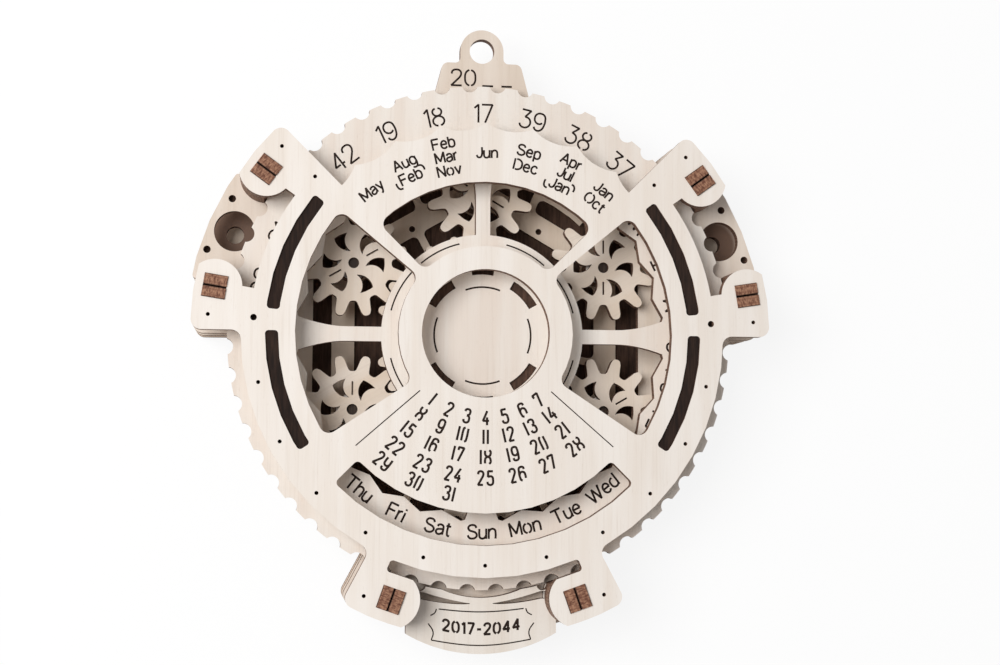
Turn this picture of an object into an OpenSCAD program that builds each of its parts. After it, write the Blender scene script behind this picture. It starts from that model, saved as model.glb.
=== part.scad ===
// Perpetual desk calendar made of laser-cut plies: a big year and weekday wheel turns a sun gear
// and six planets behind a front plate with the month sector and the date table.
// It lies on its back: the dial faces +Z, the hanging loop points to +Y, and the origin is on the
// wheel's axis at the rear face.

/* [Plies] */
// Thickness of every ply
ply = 3; // [2.6:0.1:3.6]
// Gap between the back plate and the gear frame
back_gap = 3; // [2:0.5:6]
// Gap between the gear frame and the mid frame
frame_gap = 5; // [4:0.5:8]
// Gap between the mid frame and the calendar wheel
wheel_gap = 1.5; // [0.8:0.1:3]
// Gap between the calendar wheel and the front plate
front_gap = 5.5; // [3:0.5:8]

/* [Calendar wheel] */
// Radius over the tips of the scalloped rim
wheel_r = 71.7; // [68:0.1:76]
// Radius of each finger notch in the rim
notch_r = 2.35; // [1.8:0.05:2.6]
// Depth of each finger notch
notch_depth = 1.65; // [0.8:0.05:1.8]
// Radius of the rim's zigzag inner edge at its inner corners
rim_inner_r = 50.6; // [48:0.1:54]
// Depth of the zigzag
zigzag_depth = 2.1; // [0:0.1:3]
// Half width of a spoke at its narrowest
spoke_half = 2.05; // [1.5:0.05:4]
// How much wider each side of a spoke is at the rim
spoke_flare = 2.9; // [0:0.1:5]
// Inner radius of the four tab slots in the hub
tab_slot_r = 15.4; // [13:0.1:20]
// Width of a tab slot across the radius
tab_slot_w = 2.6; // [2:0.1:4]
// Angle that a tab slot spans
tab_slot_span = 30; // [15:1:40]
// Depth of the tab ends below the hub's face
tab_recess = 0.8; // [0.2:0.1:2]
// How far the two sight slots reach in past the centre hole's edge
sight_lap = 0.6; // [0:0.1:1]
// Width of the sight slots
sight_w = 2.4; // [1:0.1:3]
// Half angle of the sight slots
sight_half = 10; // [4:0.5:14]

/* [Gears] */
// Distance from the wheel's axis to each planet's axis
orbit_r = 42; // [40:0.1:43]
// Teeth on a planet
planet_teeth = 12; // [10:2:14]
// Teeth on the sun gear
sun_teeth = 24; // [24:12:36]
// Planet tooth height above the pitch circle, in modules
planet_addendum = 0.69; // [0.5:0.01:0.8]
// Sun tooth height above the pitch circle, in modules
sun_addendum = 0.9; // [0.6:0.01:1]
// Room between a tooth tip and the other gear's root
root_clearance = 1; // [0.5:0.05:1.5]
// How far the sun's tooth tips stand out past the hub disc
tip_show = 1.3; // [0:0.1:3]
// How far the planets lie below the mid frame's rear face
planet_drop = 0.2; // [0.1:0.05:1]
// Wood left between the crescent holes and a planet's tooth roots
blade_rim = 2; // [1.5:0.1:3]
// Width of the two slits beside a planet's axle
planet_slit_w = 0.5; // [0.3:0.05:1]
// Wood between a planet's bore and each slit
planet_slit_in = 2.6; // [1.5:0.1:3]
// Wood left between a slit and a planet's tooth roots
planet_slit_out = 2.9; // [2:0.1:3]
// Radial running clearance on every axle
run_fit = 0.06; // [0.03:0.01:0.1]

/* [Axles] */
// Radius of the planet axles
planet_axle_r = 1.5; // [1:0.1:2]
// Depth of an axle's end below the planet's face
axle_recess = 1.5; // [0.5:0.1:2.5]
// Outer radius of the planet pillars
pillar_r = 4.5; // [3:0.1:7]
// Radius of the centre axle
center_axle_r = 3; // [2:0.1:5]
// Outer radius of the centre pillar
center_pillar_r = 7; // [5:0.1:12]
// Thickness of the hub washer
washer_t = 0.5; // [0.3:0.1:1]
// How far the washer's edge lies inside the centre pillar's
washer_step = 0.5; // [0.2:0.1:1]
// Gap under a gear before it touches its seat
seat_gap = 0.3; // [0.1:0.05:0.6]
// Radius of the hub drum
drum_r = 20; // [18.5:0.1:24]

/* [Frame outline] */
// Overhang of the wheel's rim past the frame ring
rim_show = 3.9; // [2:0.1:6]
// Gap between the wheel's rim and the clips
clip_clear = 0.6; // [0.4:0.1:2]
// Wood left outside a clip at the ears
ear_margin = 2.4; // [1.5:0.1:5]
// How much further out the foot clips sit than the ear clips
foot_step = 2.1; // [0:0.1:4]
// Wood left outside a clip at the feet
foot_margin = 3.1; // [1.5:0.1:5]
// Angle of the side clips above the horizontal
side_clip_angle = 9; // [8:0.5:11]
// Angle of the upper clips above the horizontal
upper_clip_angle = 36; // [34:0.5:37]
// Angle of the foot clips from straight down
foot_clip_angle = 19.4; // [18:0.2:21]
// Radius of the round lobe about an ear clip
ear_lobe_r = 7.5; // [6:0.1:8.5]
// Radius of the round lobe about a foot clip
foot_lobe_r = 8; // [6.5:0.1:9]
// Angle of the ears' upper edge above the horizontal
ear_top_angle = 45; // [43:0.5:47]
// Angle of the feet's outer edge from straight down
foot_side_angle = 28; // [26:0.5:31]
// Radius of the frame's outer corners
corner_r = 2.8; // [1:0.1:4]

/* [Front plate] */
// Radius of the centre hole
centre_hole_r = 18; // [14:0.1:20]
// Outer radius of the band about the centre hole
band_r = 24.5; // [22:0.1:27]
// Outer radius of the side windows
side_window_r = 53; // [50:0.1:55]
// Upper edge of the side windows above the horizontal
side_window_up = 39.5; // [36:0.5:41]
// Lower edge of the side windows below the horizontal
side_window_down = 33.4; // [28:0.2:38]
// Outer radius of the top window
top_window_r = 42.7; // [38:0.1:46]
// Half angle of the top window
top_window_half = 45; // [38:0.5:45]
// Corner radius of the windows
window_corner = 2.7; // [1:0.1:3.5]
// Inner radius of the weekday window
week_window_r = 50.1; // [48:0.1:52]
// Width of the weekday window
week_window_w = 8.9; // [7:0.1:9.5]
// Half angle of the weekday window
week_window_half = 45; // [40:0.5:46]
// Radius over the cusps of the month sector
month_r = 59.4; // [57:0.1:61]
// Depth of the scallops in the month sector
month_dip = 1.6; // [0.5:0.1:2.2]
// Middle radius of the four dark bars
bar_r = 59.4; // [58:0.1:61]
// Width of the four dark bars
bar_w = 3.6; // [2.5:0.1:5]
// Depth of the four dark bars
bar_depth = 0.6; // [0.2:0.1:1.5]
// Angle that each dark bar spans
bar_span = 32.6; // [20:0.2:34]
// Where the upper bars start above the horizontal
bar_start = 5.7; // [2:0.1:8]
// Width of the slot between the ring and the feet
foot_slot_w = 3.4; // [2:0.1:4]
// Half angle of the slot between the ring and the feet
foot_slot_half = 22.6; // [21:0.2:25]
// How far the cut-outs in the ears reach in past the ring's edge
ear_cut_in = 2.5; // [0.5:0.1:4]
// Lower end of the cut-outs in the ears
ear_cut_low = 10.1; // [9:0.1:12]
// Upper end of the cut-outs in the ears
ear_cut_high = 35.1; // [33:0.1:36]
// Radius of the small pin holes
pin_hole_r = 0.55; // [0.3:0.05:1]
// Distance of the ring of pin holes from the ring's edge
pin_inset = 3.4; // [2:0.1:5]
// Radius of the two bigger pin holes at the ring's sides
side_pin_r = 0.9; // [0.5:0.05:1.2]
// Depth of the front plate's pin holes
front_pin_depth = 2.4; // [1:0.1:2.6]
// Angle of the pin holes in the ears' upper lobes above the horizontal
upper_pin_angle = 41.8; // [41:0.1:43]
// Angle of the pin holes in the ears' lower lobes above the horizontal
side_pin_angle = 3.1; // [2:0.1:4]
// Angle of the pin holes in the feet from straight down
foot_pin_angle = 24.7; // [24:0.1:26]
// How far the ear and foot pin holes lie outside the clips' middle
pin_out = 0.9; // [0:0.1:2]

/* [Mid frame] */
// How far the wings stand out past the ears
wing_out = 2; // [1:0.1:5]
// Lower end of the wings
wing_low = 10.8; // [8:0.1:14]
// Upper end of the wings
wing_high = 33.3; // [30:0.1:36]
// Angle of the big wing holes above the horizontal
wing_hole_angle = 22.4; // [20:0.2:24]
// Radius of the big wing holes
wing_hole_r = 5.75; // [4:0.05:6]
// Radius of the small hole behind each big one
inner_hole_r = 2.5; // [1.5:0.1:3.5]
// Radius of the two pin holes in each wing
wing_pin_r = 1.05; // [0.6:0.05:1.4]
// Depth of the pin holes in the wings
wing_pin_depth = 2.4; // [1:0.1:2.6]
// Distance of the hanging hole's centre from the room left for the wheel's rim
loop_rise = 10.8; // [9:0.1:14]
// Radius of the hanging hole
loop_hole_r = 3.6; // [2:0.1:4.5]
// Outer radius of the loop
loop_r = 6.3; // [5.2:0.1:8]
// Half width of the loop's tab at the rim
loop_tab_half = 13.7; // [12:0.1:18]
// Half width of the tab at its shoulders
shoulder_half = 11.3; // [9:0.1:12]
// Distance of the shoulders from the room left for the wheel's rim
shoulder_rise = 7.3; // [6:0.1:9]

/* [Gear frame and back plate] */
// Half width of the gear frame's opening between its straight sides
opening_half = 47.7; // [44:0.1:52]
// Room between the planets and the bore of the frames
bore_clear = 2.4; // [1:0.1:5]
// Depth of the dark pockets in the back plate
pocket_depth = 1.5; // [0.5:0.1:2]
// Radius of the pockets' corners
pocket_corner = 1.6; // [0.5:0.1:2.5]
// Half width of the centre boss left between the pockets
boss_r = 24; // [20:0.5:27]
// How far the middle of the six-sided web lies inside the planets' axles
web_in = 3.2; // [2:0.1:5]
// Width of the web
web_w = 6.6; // [4:0.1:9]
// Width of the ties that join the web to the boss and to the rim
tie_w = 2.2; // [1.5:0.1:5]
// Distance of the two curved ribs beyond the web from the axis
rib_r = 46.8; // [46:0.1:50]
// Width of those ribs
rib_w = 1.8; // [1:0.1:4]
// Wood about the foot of each planet's pillar
pillar_pad = 0.6; // [0.3:0.1:2]
// Radius of the pin holes in the back plate
back_pin_r = 0.9; // [0.6:0.05:1.6]
// Depth of those pin holes
back_pin_depth = 2.2; // [1:0.1:2.5]
// Distance of those pin holes from the axis
back_pin_at = 37.7; // [35:0.1:38.5]

/* [Detent plate] */
// Half width of the plaque
plaque_half = 21.2; // [18:0.1:23]
// Radius of the plaque's bottom edge
plaque_arc_r = 42; // [36:0.5:50]
// How far the plaque reaches below the feet
plaque_drop = 5.1; // [3:0.1:8]
// Radius of the hollow between the spring arms
arm_arc_r = 27.9; // [24:0.1:34]
// Wood between that hollow's lowest point and the room left for the wheel's rim
arm_low_wall = 1.5; // [0.9:0.1:2.5]
// Half gap between the tips of the two spring slits
slit_tip = 3.2; // [2:0.1:6]
// Thickness of a spring arm
arm_t = 1.9; // [1.2:0.1:3]
// Widest part of a spring slit
slit_w = 2; // [0.8:0.1:3]
// Wood between the wide end of a spring slit and the plaque's side
slit_wall = 4.4; // [3:0.1:6]
// Angle of the gap beside each spring arm's nose, from straight down
nose_gap_angle = 13.8; // [13:0.1:14.5]
// Radius of that gap
nose_gap_r = 1.6; // [1:0.1:2]

/* [Clips] */
// Width of a clip along the radius
clip_w = 6.4; // [5:0.1:8]
// Thickness of each of a clip's two plies
clip_ply = 3; // [2.6:0.1:3.6]
// Slit between a clip's two plies
clip_slit = 0.45; // [0.2:0.05:1]
// Height of a clip's end above the front plate
clip_proud = 0.4; // [0:0.1:1]
// Gap between a clip and its hole on each side
clip_fit = 0.05; // [0.02:0.01:0.2]
// Wood between the room left for the wheel's rim and a clip
clip_wall = 0.4; // [0.2:0.1:1.5]

/* [Hidden] */
$fn = 180;
birch = "#efe9e1";
char = "#3b2d27";
end_grain = "#97664f";

// Cuts run this far past the faces that they go through
past = 1;
// Years round the wheel, and the angle between two of them
years = 28;
step = 360 / years;
notches = 2 * years;
// Scallops along the month sector
scallops = 8;
// Pin holes round the ring, and the angle between two of them
ring_pins = 11;
ring_pin_step = 1.2 * step;
// Planets, their crescent holes, and the angle of the first planet
planets = 6;
blades = 6;
planet_start = 180 / planets;
// Shape of the gear teeth: how upright their flanks are, how much slimmer a tooth is than its gap,
// and the points along each tooth
sun_sharp = 1.6;
planet_sharp = 2;
tooth_slim = 0.15;
tooth_steps = 16;
// Radius of small rounded corners
small_r = 1;

// Heights of the rear face of each layer
gear_z = ply + back_gap;
mid_z = gear_z + ply + frame_gap;
wheel_z = mid_z + ply + wheel_gap;
front_z = wheel_z + ply + front_gap;
planet_z = mid_z - planet_drop - ply;

// Gear sizes
gear_m = 2 * orbit_r / (planet_teeth + sun_teeth);
planet_tip_r = gear_m * (planet_teeth / 2 + planet_addendum);
sun_tip_r = gear_m * (sun_teeth / 2 + sun_addendum);
planet_root_r = orbit_r - sun_tip_r - root_clearance;
sun_root_r = orbit_r - planet_tip_r - root_clearance;
hub_r = sun_tip_r - tip_show;
crescent_r = planet_root_r - blade_rim;

// Frame sizes
ring_r = wheel_r - rim_show;
bore_r = orbit_r + planet_tip_r + bore_clear;
web_at = orbit_r - web_in;
rim_room_r = wheel_r + clip_clear;
clip_t = 2 * clip_ply + clip_slit;
ear_clip_r = rim_room_r + clip_wall + clip_w / 2;
foot_clip_r = ear_clip_r + foot_step;
ear_r = ear_clip_r + clip_w / 2 + ear_margin;
foot_r = foot_clip_r + clip_w / 2 + foot_margin;
pin_ring_r = ring_r - pin_inset;
wing_r = ear_r + wing_out;
loop_y = rim_room_r + loop_rise;
shoulder_y = rim_room_r + shoulder_rise;
plaque_low = foot_r + plaque_drop;
arm_low = rim_room_r + arm_low_wall;
far_r = 1.5 * foot_r;

// Each clip: the angle about the axis, its distance from the axis, the radius of its lobe and the
// outer radius of its ear or foot
side_right = [side_clip_angle, ear_clip_r, ear_lobe_r, ear_r];
upper_right = [upper_clip_angle, ear_clip_r, ear_lobe_r, ear_r];
upper_left = [180 - upper_clip_angle, ear_clip_r, ear_lobe_r, ear_r];
side_left = [180 - side_clip_angle, ear_clip_r, ear_lobe_r, ear_r];
foot_left = [270 - foot_clip_angle, foot_clip_r, foot_lobe_r, foot_r];
foot_right = [270 + foot_clip_angle, foot_clip_r, foot_lobe_r, foot_r];
stations = [side_right, upper_right, upper_left, side_left, foot_left, foot_right];

// Pin holes of a wing: how far out and round each lies from the wing's big hole
wing_pins = [[4.7, 5.9], [5.4, -5.5]];

// Angles of the back plate's ties: inwards from the web, and outwards
inner_ties = [118, 238, 350];
outer_ties = [67, 113, 247, 293];

// Angles at which the rib on the right starts and ends
rib_span = [48, 67];

function polar(r, a) = [r * cos(a), r * sin(a)];
function tanh(x) = (exp(2 * x) - 1) / (exp(2 * x) + 1);

// ---- flat shapes ----

// Wedge from the axis between two angles
module wedge(a0, a1) {
    steps = ceil((a1 - a0) / 30);
    polygon(concat([[0, 0]], [for (i = [0:steps]) polar(far_r, a0 + (a1 - a0) * i / steps)]));
}

// Ring between two radii, cut to the angles from a0 to a1
module sector(r0, r1, a0, a1) {
    intersection() {
        difference() {
            circle(r1);
            circle(r0);
        }
        wedge(a0, a1);
    }
}

// Rounds the outer corners of a flat shape
module round_out(r) {
    offset(r = r, $fn = 48) offset(delta = -r) children();
}

// Rounds the inner corners of a flat shape
module round_in(r) {
    offset(r = -r, $fn = 48) offset(delta = r) children();
}

module mirror_pair() {
    children();
    mirror([1, 0]) children();
}

// Smooth finger-like gear teeth: a rounded square wave about the pitch circle
module gear_outline(teeth, root_r, tip_r, sharp) {
    low = tanh(sharp * (-1 - tooth_slim));
    high = tanh(sharp * (1 - tooth_slim));
    polygon([for (i = [0:teeth * tooth_steps - 1])
        let (a = 360 * i / (teeth * tooth_steps),
             wave = (tanh(sharp * (cos(teeth * a) - tooth_slim)) - low) / (high - low))
        polar(root_r + (tip_r - root_r) * wave, a)]);
}

// Square hole for the clip of a station, or the clip's own outline
module clip_outline(station, grow) {
    rotate(station[0]) translate([station[1], 0])
        square([clip_w + 2 * grow, clip_t + 2 * grow], center = true);
}

module clip_holes() {
    for (station = stations) clip_outline(station, clip_fit);
}

// Round lobe about a clip, trimmed to the outer edge of its ear or foot
module lobe(station) {
    intersection() {
        translate(polar(station[1], station[0])) circle(station[2]);
        circle(station[3]);
    }
}

// Ring with full ears and feet, shared by the four frame plates
module frame_outline() {
    // The outer part of a foot laps this far round into its lobe
    foot_lap = 3;
    round_in(corner_r) {
        circle(ring_r);
        mirror_pair() {
            round_out(corner_r) sector(bore_r - corner_r, ear_r, 0, ear_top_angle);
            round_out(corner_r)
                sector(bore_r, foot_r, 270 - foot_side_angle, 270 - foot_slot_half + foot_lap);
        }
    }
    lobe(foot_left);
    lobe(foot_right);
}

// Region above the month sector, down to its scalloped edge
module month_cut() {
    scallop_half = month_r * sin(step / 2);
    scallop_r = (pow(scallop_half, 2) + pow(month_dip, 2)) / (2 * month_dip);
    intersection() {
        wedge(ear_top_angle, 180 - ear_top_angle);
        union() {
            sector(month_r, far_r, 0, 180);
            for (i = [-scallops / 2:scallops / 2 - 1])
                rotate(90 + step * (i + 0.5))
                    translate([month_r * cos(step / 2) - month_dip + scallop_r, 0])
                        circle(scallop_r);
        }
    }
}

// Gap between the ring and the feet, and the gap between the two feet
module foot_gap() {
    round_out(small_r)
        sector(ring_r, ring_r + foot_slot_w, 270 - foot_slot_half, 270 + foot_slot_half);
    difference() {
        sector(ring_r + foot_slot_w / 2, far_r, 270 - foot_clip_angle, 270 + foot_clip_angle);
        lobe(foot_left);
        lobe(foot_right);
    }
}

// Cut-out of the right ear, between its two lobes
module ear_cut() {
    difference() {
        sector(ring_r - ear_cut_in, far_r, ear_cut_low, ear_cut_high);
        lobe(side_right);
        lobe(upper_right);
    }
}

// ---- front plate ----

module front_windows() {
    circle(centre_hole_r);
    mirror_pair() round_out(window_corner)
        sector(band_r, side_window_r, -side_window_down, side_window_up);
    round_out(window_corner)
        sector(band_r, top_window_r, 90 - top_window_half, 90 + top_window_half);
    round_out(window_corner / 2)
        sector(week_window_r, week_window_r + week_window_w,
               270 - week_window_half, 270 + week_window_half);
}

module front_pin_holes() {
    last = (ring_pins - 1) / 2;
    for (i = [-last:last]) translate(polar(pin_ring_r, 270 + i * ring_pin_step)) circle(pin_hole_r);
    mirror_pair() {
        translate(polar(pin_ring_r, upper_pin_angle)) circle(pin_hole_r);
        translate(polar(pin_ring_r, side_pin_angle)) circle(side_pin_r);
        translate(polar(ear_clip_r + pin_out, upper_pin_angle)) circle(pin_hole_r);
        translate(polar(ear_clip_r + pin_out, side_pin_angle)) circle(pin_hole_r);
        translate(polar(foot_clip_r + 2 * pin_out, 270 + foot_pin_angle)) circle(pin_hole_r);
    }
}

// The four dark curved bars beside the windows
module bars() {
    mirror_pair() for (a = [bar_start, -bar_span])
        round_out(small_r) sector(bar_r - bar_w / 2, bar_r + bar_w / 2, a, a + bar_span);
}

module front_plate() {
    color(birch) difference() {
        translate([0, 0, front_z]) linear_extrude(ply) difference() {
            frame_outline();
            month_cut();
            foot_gap();
            mirror_pair() ear_cut();
            front_windows();
            clip_holes();
        }
        translate([0, 0, front_z + ply - front_pin_depth]) linear_extrude(front_pin_depth + past)
            front_pin_holes();
        translate([0, 0, front_z + ply - bar_depth]) linear_extrude(bar_depth + past) bars();
    }
}

// ---- calendar wheel and what turns with it ----

module spoke() {
    inner = hub_r - past;
    span = rim_inner_r + zigzag_depth - inner;
    // Share of the length that stays narrow, and how sharply the rest flares
    waist = 0.45;
    bend = 1.8;
    n = 12;
    side = [for (i = [0:n])
        let (t = i / n, flare = max(0, t - waist) / (1 - waist))
        [inner + span * t, spoke_half + spoke_flare * pow(flare, bend)]];
    polygon(concat([for (point = side) [point[0], -point[1]]], [for (i = [n:-1:0]) side[i]]));
}

// Edge inside the rim that steps in and out once for each year
module zigzag_outline() {
    polygon([for (i = [0:notches - 1])
        polar(rim_inner_r + (i % 2 == 0 ? 0 : zigzag_depth), 90 + step * i / 2)]);
}

module tab_slots(grow) {
    for (i = [0:3])
        sector(tab_slot_r - grow, tab_slot_r + tab_slot_w + grow,
               45 + 90 * i - tab_slot_span / 2, 45 + 90 * i + tab_slot_span / 2);
}

module calendar_wheel() {
    color(birch) translate([0, 0, wheel_z]) linear_extrude(ply) difference() {
        union() {
            difference() {
                circle(wheel_r);
                zigzag_outline();
            }
            circle(hub_r);
            for (i = [0:3]) rotate(90 * i) spoke();
        }
        for (i = [0:notches - 1])
            rotate(90 + step * (i + 0.5) / 2)
                translate([wheel_r + notch_r - notch_depth, 0]) circle(notch_r, $fn = 48);
        tab_slots(0);
        // Upper and lower sight slots, just under the edge of the centre hole
        for (a = [90, 270])
            sector(centre_hole_r - sight_lap, centre_hole_r - sight_lap + sight_w,
                   a - sight_half, a + sight_half);
    }
}

// Drum that joins the sun gear to the wheel, with tabs that stand in the hub slots
module hub_drum() {
    drum_z = planet_z + ply;
    color(birch) {
        translate([0, 0, drum_z]) linear_extrude(wheel_z - drum_z) difference() {
            circle(drum_r);
            circle(center_axle_r + run_fit);
        }
        translate([0, 0, wheel_z]) linear_extrude(ply - tab_recess) tab_slots(-clip_fit);
    }
}

module sun_gear() {
    color(birch) translate([0, 0, planet_z]) linear_extrude(ply) difference() {
        gear_outline(sun_teeth, sun_root_r, sun_tip_r, sun_sharp);
        circle(center_axle_r + run_fit);
    }
}

// ---- planets ----

// One curved blade-shaped hole: a disc, trimmed by the rim circle and by a second disc. The discs'
// places and radii are shares of the rim circle's radius.
module crescent() {
    outer_at = [0.83, -0.305];
    outer_r = 0.49;
    inner_at = [0.575, -0.485];
    inner_r = 0.423;
    scale(crescent_r) difference() {
        intersection() {
            translate(outer_at) circle(outer_r, $fn = 64);
            circle(1, $fn = 96);
        }
        translate(inner_at) circle(inner_r, $fn = 64);
    }
}

// The two narrow slits beside a planet's axle
module planet_slits() {
    from_r = planet_axle_r + run_fit + planet_slit_in;
    length = planet_root_r - planet_slit_out - from_r;
    for (i = [0, 1]) rotate(60 + 180 * i)
        translate([from_r, -planet_slit_w / 2]) square([length, planet_slit_w]);
}

module planet_gear(index) {
    color(birch) rotate(planet_start + 360 / planets * index) translate([orbit_r, 0, planet_z])
        linear_extrude(ply) difference() {
            rotate(180 / planet_teeth)
                gear_outline(planet_teeth, planet_root_r, planet_tip_r, planet_sharp);
            circle(planet_axle_r + run_fit, $fn = 64);
            for (i = [0:blades - 1]) rotate(360 / blades * (i + 0.5)) crescent();
            planet_slits();
        }
}

module planet_places() {
    for (i = [0:planets - 1])
        rotate(planet_start + 360 / planets * i) translate([orbit_r, 0, 0]) children();
}

module planet_axles() {
    color(char) planet_places() cylinder(r = planet_axle_r, h = planet_z + ply - axle_recess, $fn = 64);
}

module planet_pillars() {
    color(birch) planet_places() translate([0, 0, ply]) difference() {
        cylinder(r = pillar_r, h = planet_z - seat_gap - ply, $fn = 64);
        translate([0, 0, -past]) cylinder(r = planet_axle_r, h = planet_z + past, $fn = 64);
    }
}

// ---- centre ----

module center_axle() {
    color(birch) cylinder(r = center_axle_r, h = wheel_z - seat_gap, $fn = 64);
}

module center_pillar() {
    color(birch) translate([0, 0, ply]) difference() {
        cylinder(r = center_pillar_r, h = planet_z - washer_t - seat_gap - ply, $fn = 96);
        translate([0, 0, -past]) cylinder(r = center_axle_r, h = planet_z, $fn = 64);
    }
}

module hub_washer() {
    color(char) translate([0, 0, planet_z - washer_t - seat_gap]) difference() {
        cylinder(r = center_pillar_r - washer_step, h = washer_t, $fn = 96);
        translate([0, 0, -past]) cylinder(r = center_axle_r, h = washer_t + 2 * past, $fn = 64);
    }
}

// ---- frame plates behind the wheel ----

// Tab with sloping sides and a round loop on top
module loop_outline() {
    // The tab starts this far inside the ring, and its sides lean in from this far under the rim
    root = 4;
    lean = 2;
    shoulder_corner = 2;
    loop_corner = 1.5;
    half = loop_tab_half;
    tab_y = ring_r - root;
    lean_y = rim_room_r - lean;
    round_in(loop_corner) {
        round_out(shoulder_corner) polygon([
            [-half, tab_y], [half, tab_y], [half, lean_y],
            [shoulder_half, shoulder_y], [-shoulder_half, shoulder_y], [-half, lean_y]]);
        translate([0, loop_y]) circle(loop_r, $fn = 96);
        translate([-loop_r, shoulder_y - shoulder_corner])
            square([2 * loop_r, loop_y - shoulder_y + shoulder_corner]);
    }
    translate([-half, tab_y - lean]) square([2 * half, root]);
}

module wings() {
    round_out(small_r) mirror_pair() sector(bore_r + small_r, wing_r, wing_low, wing_high);
}

// Floor between the two feet, behind the plaque
module foot_floor() {
    sector(bore_r, foot_r, 270 - foot_clip_angle, 270 + foot_clip_angle);
}

module wing_holes() {
    mirror_pair() translate(polar(ear_clip_r, wing_hole_angle)) circle(wing_hole_r, $fn = 96);
}

// Pin holes in the two wings, as [distance beyond the clips' circle, angle beside the big hole]
module wing_pin_holes() {
    mirror_pair() for (pin = wing_pins)
        translate(polar(ear_clip_r + pin[0], wing_hole_angle + pin[1])) circle(wing_pin_r, $fn = 32);
}

module mid_frame() {
    color(birch) difference() {
        translate([0, 0, mid_z]) linear_extrude(ply) difference() {
            union() {
                frame_outline();
                loop_outline();
                wings();
                foot_floor();
            }
            circle(bore_r);
            clip_holes();
            translate([0, loop_y]) circle(loop_hole_r, $fn = 64);
            wing_holes();
        }
        translate([0, 0, mid_z + ply - wing_pin_depth]) linear_extrude(wing_pin_depth + past)
            wing_pin_holes();
    }
}

module gear_frame() {
    color(birch) translate([0, 0, gear_z]) linear_extrude(ply) difference() {
        union() {
            frame_outline();
            wings();
        }
        intersection() {
            circle(bore_r);
            square([2 * opening_half, 4 * bore_r], center = true);
        }
        foot_gap();
        clip_holes();
        mirror_pair() translate(polar(ear_clip_r, wing_hole_angle)) circle(inner_hole_r, $fn = 64);
    }
}

module back_pins(r) {
    for (a = [60, 120, 240, 300]) translate(polar(back_pin_at, a)) circle(r, $fn = 64);
}

// Six-sided outline, with a corner beyond each planet; half is from the axis to a side
module web_outline(half) {
    rotate(30) circle(half / cos(30), $fn = 6);
}

// Straight ties at some angles, from one distance from the axis to another
module ties(angles, r0, r1) {
    for (a = angles) rotate(a) translate([r0, -tie_w / 2]) square([r1 - r0, tie_w]);
}

// Floor of the dark pockets: all but the boss, the six-sided web under the planets and its ties
module pockets() {
    // Wall between the pockets and the bore of the frames
    wall = 1;
    round_out(pocket_corner) difference() {
        circle(bore_r - wall);
        circle(boss_r);
        difference() {
            web_outline(web_at + web_w / 2);
            web_outline(web_at - web_w / 2);
        }
        planet_places() circle(pillar_r + pillar_pad, $fn = 64);
        ties(inner_ties, boss_r - wall, web_at);
        ties(outer_ties, web_at, bore_r);
        mirror_pair() sector(rib_r, rib_r + rib_w, rib_span[0], rib_span[1]);
    }
}

module back_plate() {
    color(birch) difference() {
        linear_extrude(ply) difference() {
            frame_outline();
            clip_holes();
            foot_gap();
            planet_places() circle(planet_axle_r, $fn = 64);
            circle(center_axle_r, $fn = 64);
        }
        translate([0, 0, ply - pocket_depth]) linear_extrude(pocket_depth + past) pockets();
        translate([0, 0, ply - back_pin_depth]) linear_extrude(back_pin_depth + past)
            back_pins(back_pin_r);
    }
}

// ---- plaque with its two spring arms ----

// Slit under the left spring arm: a long thin leaf that starts at the plaque's side, follows the
// arm and narrows to a point
module spring_slit() {
    wide_x = -plaque_half + slit_wall;
    side_x = -plaque_half - past;
    n = 8;
    // The slit's upper edge drops away from the rim by this much towards its point
    drop = 1.5;
    // Width left at the point, and how quickly the slit narrows
    point_w = 0.15;
    taper = 0.8;
    upper = [for (i = [0:n])
        let (x = wide_x - (slit_tip + wide_x) * i / n)
        [x, -sqrt(pow(rim_room_r + arm_t, 2) - x * x) + drop * (0.2 - i / n)]];
    lower = [for (i = [n:-1:0])
        [upper[i][0], upper[i][1] - slit_w * pow(1 - i / n, taper) - point_w]];
    polygon(concat([[side_x, upper[0][1]]], upper, lower, [[side_x, lower[n][1]]]));
}

module detent_outline() {
    difference() {
        union() {
            intersection() {
                translate([0, plaque_arc_r - plaque_low]) circle(plaque_arc_r);
                translate([-plaque_half, -plaque_low - past])
                    square([2 * plaque_half, plaque_low + past - ring_r]);
            }
            lobe(foot_left);
            lobe(foot_right);
        }
        circle(rim_room_r);
        translate([0, arm_arc_r - arm_low]) circle(arm_arc_r);
        mirror_pair() {
            spring_slit();
            // Gap that frees the nose of the arm from the foot
            translate(polar(rim_room_r, 270 - nose_gap_angle)) circle(nose_gap_r, $fn = 48);
        }
    }
}

module detent_plate() {
    color(birch) translate([0, 0, wheel_z]) linear_extrude(ply) difference() {
        detent_outline();
        clip_holes();
    }
}

// ---- spacers and clips ----

// Lobe-shaped spacer about one clip, clear of the wheel's rim
module spacer(station, z, h) {
    color(birch) translate([0, 0, z]) linear_extrude(h) difference() {
        lobe(station);
        circle(rim_room_r);
        clip_outline(station, clip_fit);
    }
}

module ear_spacer(station) {
    spacer(station, mid_z + ply, front_z - mid_z - ply);
}

module foot_spacer(station) {
    spacer(station, wheel_z + ply, front_gap);
}

module foot_shim(station) {
    spacer(station, mid_z + ply, wheel_gap);
}

// Spacers between the back plate and the gear frame
module back_spacers() {
    for (station = stations) spacer(station, ply, back_gap);
}

// Spacers between the gear frame and the mid frame
module rear_spacers() {
    for (station = stations) spacer(station, gear_z + ply, frame_gap);
}

module clip(station) {
    color(end_grain) rotate(station[0]) translate([station[1], 0, 0])
        for (side = [0, 1]) mirror([0, side, 0])
            translate([-clip_w / 2, clip_slit / 2, 0])
                cube([clip_w, clip_ply, front_z + ply + clip_proud]);
}

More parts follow.
